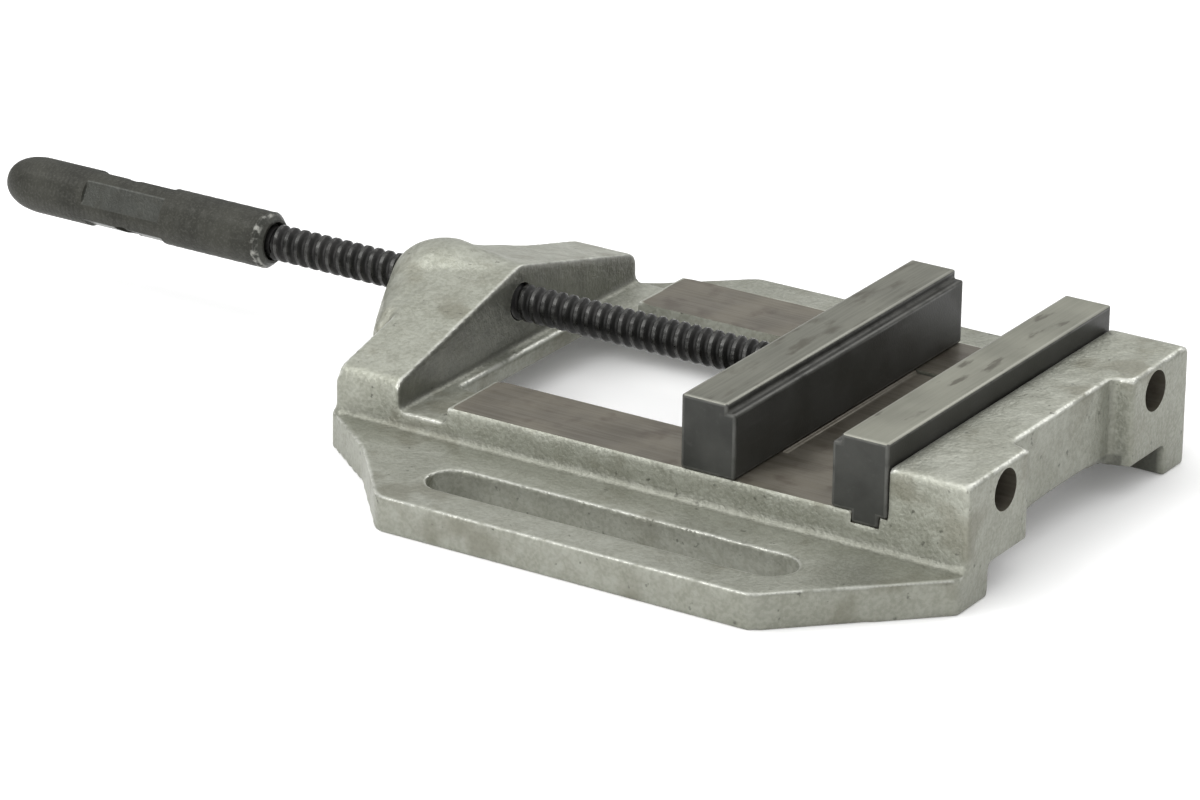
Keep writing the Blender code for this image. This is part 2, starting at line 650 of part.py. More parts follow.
# Screws -------------------------------------------------------------------------------------
def cap_screw(name, seat, length, axis, parent, material):
    """seat is the point under the head. The shank runs length along the axis, the head behind."""
    profile = [
        (-JAW_SCREW_HEAD, 0),
        (-JAW_SCREW_HEAD, JAW_SCREW_HEAD_RADIUS - JAW_EDGE),
        (-JAW_SCREW_HEAD + JAW_EDGE, JAW_SCREW_HEAD_RADIUS),
        (0, JAW_SCREW_HEAD_RADIUS),
        (0, JAW_SCREW_RADIUS),
        (length, JAW_SCREW_RADIUS),
        (length, 0),
    ]
    if axis == "-X":
        screw = turned(name, profile, seat, "X", parent, material, steps=SMALL_STEPS)
        screw.rotation_euler = (0, -math.pi / 2, 0)
        start = Vector(seat) + Vector((JAW_SCREW_HEAD - HEX_DEPTH, 0, 0))
        socket = cylinder(name + "_socket", HEX_RADIUS, start, HEX_DEPTH + CUT, "X", parent, steps=6)
    else:
        screw = turned(name, profile, seat, "Z", parent, material, steps=SMALL_STEPS)
        start = Vector(seat) - Vector((0, 0, JAW_SCREW_HEAD + CUT))
        socket = cylinder(name + "_socket", HEX_RADIUS, start, HEX_DEPTH + CUT, "Z", parent, steps=6)
    boolean(screw, socket)
    return screw


def make_screws(black, bright):
    seat_x = END_WALL_THICKNESS - COUNTERBORE_DEPTH + GAP
    rise = JAW_FLOOR - JAW_SCREW_SEAT + GAP + JAW_SCREW_RISE
    for side_name, side in (("near", -1), ("far", 1)):
        seat = (seat_x, side * FIXED_SCREW_OFFSET, FIXED_SCREW_HEIGHT)
        cap_screw("fixed_jaw_screw_" + side_name, seat, seat_x + GAP + FIXED_SCREW_GRIP, "-X", BED,
                  black)
        seat = (SCREW_X / 2, side * JAW_SCREW_OFFSET, JAW_SCREW_SEAT - GAP)
        cap_screw("jaw_screw_" + side_name, seat, rise, "Z", CARRIAGE, black)
    for name, x, y in keeper_screw_places():
        screw = turned(name, keeper_screw_profile(0, 0), (x, y, KEEPER_BOTTOM), "Z", CARRIAGE, bright,
                       steps=SMALL_STEPS)
        start = (x, y, KEEPER_BOTTOM - CUT)
        boolean(screw, cylinder(name + "_socket", HEX_RADIUS / 2, start, CUT + KEEPER_SCREW_HEAD, "Z",
                                CARRIAGE, steps=6))


# Screw: spindle and grip --------------------------------------------------------------------
def make_spindle(material):
    shoulder = -GAP - WASHER_THICKNESS - GAP
    groove = NOSE_GROOVE_START
    groove_end = groove + 2 * RETAINER_RADIUS + 2 * GAP
    profile = [
        (-SPINDLE_LENGTH - STUB_LENGTH + GAP, 0),
        (-SPINDLE_LENGTH - STUB_LENGTH + GAP, STUB_RADIUS),
        (-SPINDLE_LENGTH + GAP, STUB_RADIUS),
        (-SPINDLE_LENGTH + GAP, SPINDLE_RADIUS),
        (shoulder, SPINDLE_RADIUS),
        (shoulder, NOSE_RADIUS),
        (groove, NOSE_RADIUS),
        (groove, NOSE_GROOVE_RADIUS),
        (groove_end, NOSE_GROOVE_RADIUS),
        (groove_end, NOSE_RADIUS),
        (NOSE_LENGTH - JAW_EDGE, NOSE_RADIUS),
        (NOSE_LENGTH, NOSE_RADIUS - JAW_EDGE),
        (NOSE_LENGTH, 0),
    ]
    spindle = turned("spindle", profile, (0, 0, 0), "X", SCREW, material)
    boolean(spindle, grip_pin_hole("spindle_pin_hole"))


def grip_pin_hole(name):
    """Blind hole from below, through the grip's wall and into the stub."""
    start = (-SPINDLE_LENGTH - GRIP_PIN_OFFSET, 0, -GRIP_RADIUS - CUT)
    return cylinder(name, GRIP_PIN_RADIUS + GAP, start, CUT + GRIP_RADIUS + GRIP_PIN_REACH + GAP, "Z",
                    SCREW, steps=SMALL_STEPS)


def make_grip(material):
    dome = GRIP_LENGTH - GRIP_DOME
    ends = [(-GRIP_LENGTH, 0)]
    for step in range(ARC_STEPS + 1):
        turn = math.pi / 2 * step / ARC_STEPS
        radius = GRIP_TIP_RADIUS + (GRIP_RADIUS - GRIP_TIP_RADIUS) * math.sin(turn)
        ends.append((-dome - GRIP_DOME * math.cos(turn), radius))
    profile = ends + [(-GRIP_CHAMFER, GRIP_RADIUS), (0, GRIP_RADIUS - GRIP_CHAMFER), (0, 0)]
    grip = turned("handle_grip", profile, (-SPINDLE_LENGTH, 0, 0), "X", SCREW, material)
    boolean(grip, cylinder("grip_bore", STUB_RADIUS + GAP, (-SPINDLE_LENGTH - STUB_LENGTH, 0, 0),
                           STUB_LENGTH + CUT, "X", SCREW))
    high_x = -SPINDLE_LENGTH - GRIP_FLAT_START
    low_x = high_x - GRIP_FLAT_LENGTH
    inner, outer = GRIP_RADIUS - GRIP_FLAT_DEPTH, GRIP_RADIUS + CUT
    for side in (-1, 1):
        across = sorted((side * inner, side * outer))
        boolean(grip, box("flat_y", (low_x, across[0], -outer), (high_x, across[1], outer), SCREW))
        boolean(grip, box("flat_z", (low_x, -outer, across[0]), (high_x, outer, across[1]), SCREW))
    start = ((low_x + high_x) / 2, 0, -outer)
    boolean(grip, cylinder("bar_hole", BAR_HOLE_RADIUS, start, 2 * outer, "Z", SCREW))
    boolean(grip, grip_pin_hole("grip_pin_hole"))


def make_grip_pin(material):
    start = (-SPINDLE_LENGTH - GRIP_PIN_OFFSET, 0, -GRIP_RADIUS + GAP)
    cylinder("handle_pin", GRIP_PIN_RADIUS, start, GRIP_RADIUS + GRIP_PIN_REACH - GAP, "Z", SCREW,
             material, steps=SMALL_STEPS)


def make_vise():
    cast = new_material("cast_iron", (0.37, 0.38, 0.34), 0.55, 0.6)
    ground = new_material("ground_steel", (0.16, 0.155, 0.145), 0.4, 0.8)
    machined = new_material("machined_iron", (0.15, 0.13, 0.11), 0.5, 0.7)
    thread = new_material("black_oxide", (0.035, 0.035, 0.035), 0.35, 0.8)
    knurl = new_material("knurled_steel", (0.045, 0.045, 0.04), 0.55, 0.6)
    black = new_material("screw_black", (0.02, 0.02, 0.02), 0.4, 0.6)
    bright = new_material("bright_steel", (0.5, 0.5, 0.48), 0.3, 0.9)
    make_base(cast)
    make_fixed_jaw(ground)
    make_movable_jaw(ground)
    make_guide_block(machined)
    make_keeper_plate(machined)
    make_carriage_pins(bright)
    make_screws(black, bright)
    make_spindle(thread)
    make_grip(knurl)
    make_grip_pin(bright)


clear_scene()
PARTS = new_collection("machine_vise")
CUTTERS = new_collection("cutters")
BED = frame_empty("bed", (ORIGIN_X, ORIGIN_Y, 0))
CARRIAGE = frame_empty("carriage", (CARRIAGE_X, 0, 0), BED)
SCREW = frame_empty("screw", (SCREW_X, 0, SPINDLE_HEIGHT), CARRIAGE)
SCREW.rotation_euler = (math.radians(GRIP_TURN), 0, 0)
make_vise()
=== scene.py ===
"""Looks of the machine vise: a sand-cast bed with machined ways, ground and blackened jaws,
a cut thread and a knurled grip, on a pale floor in soft light.

The CAD model is the frame. Pieces made here repeat its sizes, in metres, in the bed's own
coordinates: x from the end wall's inner face, y from the spindle's centre line, z from the ground.
"""
import math

import bmesh
import bpy
import numpy as np
from mathutils import Matrix, Vector, noise


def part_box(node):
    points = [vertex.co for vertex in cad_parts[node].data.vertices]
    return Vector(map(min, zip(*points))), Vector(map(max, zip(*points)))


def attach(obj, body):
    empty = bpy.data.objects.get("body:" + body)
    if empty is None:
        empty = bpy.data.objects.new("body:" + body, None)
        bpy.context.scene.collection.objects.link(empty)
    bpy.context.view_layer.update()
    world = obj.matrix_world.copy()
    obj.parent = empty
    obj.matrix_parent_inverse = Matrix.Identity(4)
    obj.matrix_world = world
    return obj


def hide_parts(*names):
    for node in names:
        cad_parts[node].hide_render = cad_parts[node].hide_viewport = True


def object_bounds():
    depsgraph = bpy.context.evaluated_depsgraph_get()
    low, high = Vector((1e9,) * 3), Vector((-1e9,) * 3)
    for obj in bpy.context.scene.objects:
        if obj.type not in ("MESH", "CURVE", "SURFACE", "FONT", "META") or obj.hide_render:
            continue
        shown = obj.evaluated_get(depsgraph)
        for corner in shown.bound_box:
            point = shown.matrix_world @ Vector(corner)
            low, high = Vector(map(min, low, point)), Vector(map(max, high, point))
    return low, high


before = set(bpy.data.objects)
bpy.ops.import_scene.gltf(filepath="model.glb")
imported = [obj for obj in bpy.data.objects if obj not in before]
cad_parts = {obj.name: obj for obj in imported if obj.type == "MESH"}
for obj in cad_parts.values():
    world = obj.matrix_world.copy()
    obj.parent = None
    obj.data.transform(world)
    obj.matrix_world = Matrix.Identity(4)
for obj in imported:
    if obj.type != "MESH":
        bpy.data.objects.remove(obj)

MM = 0.001
CAD_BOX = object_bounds()

# Sizes that the visual pieces share with the CAD model --------------------------------------
GAP = 0.3 * MM
HALF_BED = 75 * MM
OPENING_HALF = 44.4 * MM
WAY_TOP = 24.2 * MM
WAY_UNDERSIDE = 11.2 * MM
WAY_START = -170.6 * MM
TOWER_FACE = -189.4 * MM
BOSS_END = -238 * MM
END_WALL_THICKNESS = 30 * MM
BORE_RADIUS = 6.85 * MM
COUNTERBORE_RADIUS = 7.2 * MM
COUNTERBORE_DEPTH = 17 * MM
SCREW_HOLE_RADIUS = 4.3 * MM
FIXED_SCREW_OFFSET = 51.3 * MM
FIXED_SCREW_HEIGHT = 34.0 * MM
GROOVE = (-13.7 * MM, -3.1 * MM, 20.4 * MM)      # rear, front, floor
JAW_FLOOR = 24.5 * MM
JAW_TOP = 50.5 * MM
JAW_STEP = 3.2 * MM
TENON = (-13.4 * MM, -3.4 * MM, 20.7 * MM)       # rear, front, bottom
SPINDLE_HEIGHT = 34.4 * MM
SPINDLE_RADIUS = 6.5 * MM
SPINDLE_LENGTH = 215.5 * MM
NOSE_RADIUS = 5 * MM
NOSE_LENGTH = 14.5 * MM
SHOULDER = 2.7 * MM                              # spindle's full size starts behind the jaw
THREAD_PITCH = 4.5 * MM
THREAD_DEPTH = 1.7 * MM
GRIP_LENGTH = 116.5 * MM
GRIP_RADIUS = 10.2 * MM
GRIP_TURN = math.radians(-30)
GRIP_DOME = 15 * MM
GRIP_TIP_RADIUS = 2.5 * MM                       # of the flat at the dome's end
GRIP_CHAMFER = 2.5 * MM                          # length along the axis
GRIP_CHAMFER_DEPTH = 2.2 * MM
GRIP_SOCKET = 3 * MM                             # depth that shows round the spindle
GRIP_FLAT_START = 44.5 * MM
GRIP_FLAT_LENGTH = 34 * MM
GRIP_FLAT_REACH = 9.1 * MM                       # from the axis to each flat
BAR_HOLE_RADIUS = 5.2 * MM

# Looks ---------------------------------------------------------------------------------------
CAST_VOXEL = 1.05 * MM
CAST_SMOOTHING = 6
CAST_UNEVENNESS = 0.16 * MM
MACHINING_STOCK = 3 * MM
STOCK_INSET = 2 * MM                             # keeps the stock inside the casting's outline
KNURL_STEP = 1.1 * MM
KNURL_DEPTH = 0.12 * MM
EDGE = 0.8 * MM                                  # radius on the jaws and the guide block
CAST_WAVE = 9 * MM                               # width of the casting's unevenness
PAST = 4 * MM                                    # how far cutting tools reach past a surface
NEAR = 0.02 * MM                                 # slack when a face is found by its place
TAIL = 26 * MM                                   # of the spindle, inside the grip
TAIL_RADIUS = 5.5 * MM
THREAD_BREAK = 0.25 * MM                         # broken edge of the crest
THREAD_FILLET = 0.2 * MM                         # at the root

FIXED_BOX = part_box("fixed_jaw")
MOVABLE_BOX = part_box("movable_jaw")
BED = Vector((FIXED_BOX[1].x + GAP, (FIXED_BOX[0].y + FIXED_BOX[1].y) / 2, 0))
SCREW_X = MOVABLE_BOX[0].x - BED.x               # movable jaw's back face
CARRIAGE_X = MOVABLE_BOX[1].x - BED.x            # its gripping face


# Mesh helpers -------------------------------------------------------------------------------
def add_piece(name, bm, body, replaced):
    """Makes an object of bm, given in the bed's coordinates, in the place of a CAD node."""
    bmesh.ops.translate(bm, vec=BED, verts=bm.verts)
    bmesh.ops.recalc_face_normals(bm, faces=bm.faces)
    mesh = bpy.data.meshes.new(name)
    bm.to_mesh(mesh)
    bm.free()
    piece = bpy.data.objects.new(name, mesh)
    bpy.context.scene.collection.objects.link(piece)
    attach(piece, body)
    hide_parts(replaced)
    return piece


def add_box(bm, low, high):
    low, high = Vector(low), Vector(high)
    made = bmesh.ops.create_cube(bm, size=1)["verts"]
    bmesh.ops.scale(bm, vec=high - low, verts=made)
    bmesh.ops.translate(bm, vec=(low + high) / 2, verts=made)


def add_rod(bm, radius, start, end, steps=64):
    """A cylinder along X, from the point start to the x of end."""
    made = bmesh.ops.create_cone(bm, cap_ends=True, segments=steps, radius1=radius, radius2=radius,
                                 depth=end - start[0])["verts"]
    turn = Matrix.Rotation(math.pi / 2, 4, "Y")
    middle = Vector(((start[0] + end) / 2, start[1], start[2]))
    bmesh.ops.transform(bm, matrix=Matrix.Translation(middle) @ turn, verts=made)


def scratch_object(bm):
    bmesh.ops.translate(bm, vec=BED, verts=bm.verts)
    mesh = bpy.data.meshes.new("scratch")
    bm.to_mesh(mesh)
    bm.free()
    obj = bpy.data.objects.new("scratch", mesh)
    bpy.context.scene.collection.objects.link(obj)
    return obj


def apply_modifiers(obj):
    bpy.context.view_layer.update()
    evaluated = obj.evaluated_get(bpy.context.evaluated_depsgraph_get())
    mesh = bpy.data.meshes.new_from_object(evaluated)
    obj.modifiers.clear()
    obj.data = mesh


def cut(obj, bm):
    """Cuts the solids in bm out of obj. They may not overlap each other."""
    tool = scratch_object(bm)
    modifier = obj.modifiers.new("cut", "BOOLEAN")
    modifier.operation = "DIFFERENCE"
    modifier.solver = "MANIFOLD"
    modifier.object = tool
    apply_modifiers(obj)
    bpy.data.objects.remove(tool, do_unlink=True)


def smooth_by_angle(obj, degrees):
    obj.data.shade_smooth()
    obj.data.set_sharp_from_angle(angle=math.radians(degrees))


def store(mesh, name, values):
    attribute = mesh.attributes.get(name) or mesh.attributes.new(name, "FLOAT", "POINT")
    attribute.data.foreach_set("value", np.asarray(values, dtype=np.float32))


def vertex_vectors(mesh, kind):
    values = np.empty(len(mesh.vertices) * 3, dtype=np.float32)
    mesh.vertices.foreach_get(kind, values)
    return values.reshape(-1, 3)


def curvature(mesh, spread):
    """How far each vertex stands out from its surroundings, in metres, smoothed spread times."""
    count = len(mesh.vertices)
    points, normals = vertex_vectors(mesh, "co"), vertex_vectors(mesh, "normal")
    edges = np.empty(len(mesh.edges) * 2, dtype=np.int64)
    mesh.edges.foreach_get("vertices", edges)
    a, b = edges.reshape(-1, 2).T
    degree = np.maximum(np.bincount(a, minlength=count) + np.bincount(b, minlength=count), 1)

    def neighbours(values):
        total = np.bincount(a, values[b], count) + np.bincount(b, values[a], count)
        return total / degree

    around = np.stack([neighbours(points[:, k]) for k in range(3)], axis=1)
    standing_out = ((points - around) * normals).sum(axis=1)
    for _ in range(spread):
        standing_out = (standing_out + neighbours(standing_out)) / 2
    return standing_out


# Materials ----------------------------------------------------------------------------------
class Painter:
    """Builds one node material, with the object's own coordinates for every pattern."""

    def __init__(self, name, roughness, metallic):
        self.material = bpy.data.materials.new(name)
        self.material.use_nodes = True
        self.nodes = self.material.node_tree.nodes
        self.links = self.material.node_tree.links
        self.shader = self.nodes["Principled BSDF"]
        self.shader.inputs["Metallic"].default_value = metallic
        self.shader.inputs["Roughness"].default_value = roughness
        self.place = self.nodes.new("ShaderNodeTexCoord").outputs["Object"]

    def stretched(self, x, y, z):
        mapping = self.nodes.new("ShaderNodeMapping")
        mapping.inputs["Scale"].default_value = (x, y, z)
        self.links.new(self.place, mapping.inputs["Vector"])
        return mapping.outputs["Vector"]

    def noise(self, size, detail=3, where=None, contrast=(0.3, 0.7)):
        """Noise from 0 to 1, with features about size metres across."""
        node = self.nodes.new("ShaderNodeTexNoise")
        node.inputs["Scale"].default_value = 1 / size
        node.inputs["Detail"].default_value = detail
        self.links.new(where or self.place, node.inputs["Vector"])
        return self.ramp(node.outputs["Fac"], *contrast)

    def ramp(self, value, low, high, to_low=0.0, to_high=1.0):
        node = self.nodes.new("ShaderNodeMapRange")
        node.interpolation_type = "SMOOTHSTEP"
        for name, number in (("From Min", low), ("From Max", high), ("To Min", to_low), ("To Max", to_high)):
            node.inputs[name].default_value = number
        self.links.new(value, node.inputs["Value"])
        return node.outputs["Result"]

    def attribute(self, name):
        node = self.nodes.new("ShaderNodeAttribute")
        node.attribute_name = name
        return node.outputs["Fac"]

    def math(self, operation, a, b):
        node = self.nodes.new("ShaderNodeMath")
        node.operation = operation
        for socket, value in zip(node.inputs, (a, b)):
            if isinstance(value, (int, float)):
                socket.default_value = value
            else:
                self.links.new(value, socket)
        return node.outputs["Value"]

    def mix(self, share, a, b):
        """Colour a where share is 0, b where it is 1."""
        node = self.nodes.new("ShaderNodeMix")
        node.data_type = "RGBA"
        self.links.new(share, node.inputs["Factor"])
        for socket, value in ((node.inputs[6], a), (node.inputs[7], b)):
            if isinstance(value, tuple):
                socket.default_value = (*value, 1)
            else:
                self.links.new(value, socket)
        return node.outputs[2]

    def bump(self, *heights):
        """heights: (value, depth in metres), laid over each other."""
        normal = None
        for value, depth in heights:
            node = self.nodes.new("ShaderNodeBump")
            node.inputs["Distance"].default_value = depth
            self.links.new(value, node.inputs["Height"])
            if normal:
                self.links.new(normal, node.inputs["Normal"])
            normal = node.outputs["Normal"]
        self.links.new(normal, self.shader.inputs["Normal"])

    def finish(self, color, roughness=None):
        self.links.new(color, self.shader.inputs["Base Color"])
        if roughness:
            self.links.new(roughness, self.shader.inputs["Roughness"])
        return self.material


def cast_material():
    p = Painter("cast_iron", 0.45, 0.55)
    broad = p.noise(45 * MM, 4)
    mottle = p.noise(8 * MM, 5)
    grain = p.noise(1.3 * MM, 3)
    pits = p.noise(3.2 * MM, 3, contrast=(0.67, 0.75))
    speckle = p.noise(2.6 * MM, 4, contrast=(0.35, 0.65))
    color = p.mix(broad, (0.290, 0.298, 0.248), (0.362, 0.370, 0.318))
    color = p.mix(p.ramp(mottle, 0.1, 0.9, 0, 0.4), color, (0.200, 0.204, 0.160))
    color = p.mix(p.ramp(speckle, 0, 1, 0.2, 0), color, (0.160, 0.162, 0.128))
    color = p.mix(p.ramp(grain, 0, 1, 0, 0.2), color, (0.50, 0.505, 0.445))
    stain = p.math("MULTIPLY", p.noise(20 * MM, 5, contrast=(0.53, 0.68)), 0.5)
    color = p.mix(stain, color, (0.150, 0.142, 0.100))
    # Lighter along outward edges, more where they face up: scuffed paint and a painted highlight.
    edge_wear_and_highlight = p.ramp(p.attribute("standing_out"), 0.045 * MM, 0.12 * MM)
    edge_wear_and_highlight = p.math("MULTIPLY", edge_wear_and_highlight, p.noise(5 * MM, 3, contrast=(0.25, 0.55)))
    color = p.mix(p.math("MULTIPLY", edge_wear_and_highlight, 0.75), color, (0.72, 0.73, 0.67))
    # Lighter along concave fillets: a painted highlight.
    fillet_highlight = p.ramp(p.attribute("standing_out"), -0.10 * MM, -0.06 * MM, 0.6, 0)
    color = p.mix(fillet_highlight, color, (0.60, 0.61, 0.55))
    # Darker next to the fillets: painted shade in the creases.
    crease_shade = p.ramp(p.attribute("standing_out"), -0.06 * MM, -0.02 * MM, 0.3, 0)
    color = p.mix(p.math("SUBTRACT", crease_shade, p.math("MULTIPLY", fillet_highlight, 0.5)), color, (0.110, 0.110, 0.085))
    color = p.mix(p.math("MULTIPLY", pits, 0.75), color, (0.075, 0.075, 0.060))
    # Painted shade, darker where the casting's shade mask is set.
    painted_shade = p.math("MULTIPLY", p.attribute("painted_shade"), p.ramp(mottle, 0, 1, 0.95, 0.75))
    color = p.mix(painted_shade, color, (0.100, 0.101, 0.086))
    p.bump((p.noise(9 * MM, 3), 0.2 * MM), (mottle, 0.08 * MM), (speckle, 0.05 * MM), (grain, 0.045 * MM),
           (p.noise(0.6 * MM, 2), 0.02 * MM))
    return p.finish(color, p.ramp(edge_wear_and_highlight, 0, 1, 0.43, 0.28))


def machined_material():
    p = Painter("machined_iron", 0.4, 0.5)
    streaks = p.noise(1.2 * MM, 3, where=p.stretched(0.04, 1, 1))
    cloud = p.noise(24 * MM, 5)
    color = p.mix(cloud, (0.092, 0.081, 0.060), (0.152, 0.138, 0.108))
    color = p.mix(p.ramp(streaks, 0, 1, 0, 0.3), color, (0.20, 0.188, 0.162))
    rust = p.math("MULTIPLY", p.noise(9 * MM, 5, contrast=(0.52, 0.72)), 0.5)
    color = p.mix(rust, color, (0.060, 0.044, 0.032))
    p.bump((streaks, 0.012 * MM), (p.noise(0.7 * MM, 2), 0.008 * MM))
    return p.finish(color, p.ramp(cloud, 0, 1, 0.36, 0.55))


def ground_material(name, light, stains):
    """Ground steel of the jaw tops. light scales its brightness, stains is the share of marks."""
    p = Painter(name, 0.35, 0.5)
    streaks = p.noise(0.9 * MM, 3, where=p.stretched(1, 0.03, 1))
    cloud = p.noise(30 * MM, 4)
    tones = ((0.172, 0.174, 0.134), (0.248, 0.250, 0.202))
    low, high = [tuple(light * part for part in tone) for tone in tones]
    color = p.mix(cloud, low, high)
    color = p.mix(p.ramp(streaks, 0, 1, 0, 0.18), color, (0.30, 0.298, 0.25))
    marks = p.noise(5 * MM, 6, where=p.stretched(1, 0.3, 1), contrast=(0.62 - stains / 4, 0.70))
    color = p.mix(p.math("MULTIPLY", marks, 0.8), color, (0.060, 0.054, 0.036))
    color = p.mix(p.ramp(p.attribute("edge"), 0.2, 0.9, 0, 0.35), color, (0.38, 0.38, 0.34))
    p.bump((streaks, 0.01 * MM), (p.noise(0.5 * MM, 2), 0.006 * MM))
    return p.finish(color, p.ramp(cloud, 0, 1, 0.34, 0.46))


def blackened_material(name, dark, light, gloss):
    """Blackened steel faces, scuffed a little along their edges, with a painted highlight there too."""
    p = Painter(name, 0.4, 0.25)
    p.shader.inputs["Specular IOR Level"].default_value = gloss
    cloud = p.noise(16 * MM, 5)
    color = p.mix(cloud, dark, light)
    rub = p.noise(2.5 * MM, 4, where=p.stretched(1, 0.15, 1), contrast=(0.55, 0.8))
    color = p.mix(p.math("MULTIPLY", rub, 0.2), color, (0.09, 0.09, 0.085))
    # Lighter along the edges: scuffs on the blackening and a painted edge highlight.
    scuff_and_highlight = p.math("MULTIPLY", p.ramp(p.attribute("edge"), 0.3, 0.95), p.noise(5 * MM, 3, contrast=(0.2, 0.6)))
    color = p.mix(p.math("MULTIPLY", scuff_and_highlight, 0.35), color, (0.18, 0.18, 0.165))
    p.bump((p.noise(0.8 * MM, 3), 0.012 * MM))
    return p.finish(color, p.ramp(cloud, 0, 1, 0.36, 0.52))


def thread_material():
    p = Painter("black_oxide", 0.3, 0.5)
    p.shader.inputs["Specular IOR Level"].default_value = 0.45
    crest = p.ramp(p.attribute("edge"), 0.4, 1.0)
    cloud = p.noise(8 * MM, 4)
    color = p.mix(cloud, (0.008, 0.008, 0.007), (0.020, 0.019, 0.018))
    # Lighter on the crests: scuffs on the oxide and a painted highlight.
    crest_scuff_and_highlight = p.math("MULTIPLY", crest, p.noise(3 * MM, 4, contrast=(0.35, 0.7)))
    color = p.mix(p.math("MULTIPLY", crest_scuff_and_highlight, 0.5), color, (0.10, 0.10, 0.095))
    p.bump((p.noise(0.7 * MM, 3), 0.012 * MM))
    return p.finish(color, p.ramp(crest, 0, 1, 0.5, 0.26))


def grip_material():
    p = Painter("knurled_steel", 0.5, 0.3)
    p.shader.inputs["Specular IOR Level"].default_value = 0.35
    cloud = p.noise(14 * MM, 4)
    flecks = p.noise(0.9 * MM, 3, contrast=(0.45, 0.75))
    peaks = p.ramp(p.attribute("edge"), 0.45, 1.0)
    color = p.mix(cloud, (0.020, 0.020, 0.015), (0.036, 0.036, 0.028))
    color = p.mix(p.math("MULTIPLY", peaks, 0.15), color, (0.09, 0.09, 0.08))
    color = p.mix(p.math("MULTIPLY", flecks, 0.3), color, (0.10, 0.10, 0.085))
    bare = p.math("MULTIPLY", p.attribute("bare"), p.noise(5 * MM, 3, contrast=(0.1, 0.6)))
    color = p.mix(p.math("MULTIPLY", bare, 0.5), color, (0.062, 0.066, 0.060))
    # Light patches round the chamfer's end: scuffs and painted highlights.
    scuff_and_highlight = p.math("MULTIPLY", p.attribute("scuff_and_highlight"), p.noise(3 * MM, 4, contrast=(0.45, 0.65)))
    color = p.mix(p.math("MULTIPLY", scuff_and_highlight, 0.8), color, (0.34, 0.34, 0.31))
    p.bump((p.noise(1.4 * MM, 3), 0.05 * MM), (p.noise(0.6 * MM, 3), 0.04 * MM))
    return p.finish(color, p.ramp(p.attribute("bare"), 0, 1, 0.55, 0.3))


def small_metal_material(name, dark, light, roughness):
    """Turned screws, pins and the washer."""
    p = Painter(name, roughness, 0.75)
    color = p.mix(p.noise(3 * MM, 4), dark, light)
    spots = p.noise(1.2 * MM, 3, contrast=(0.6, 0.75))
    color = p.mix(p.math("MULTIPLY", spots, 0.5), color, dark)
    p.bump((p.noise(0.4 * MM, 2), 0.006 * MM))
    return p.finish(color, p.ramp(spots, 0, 1, roughness, roughness + 0.15))


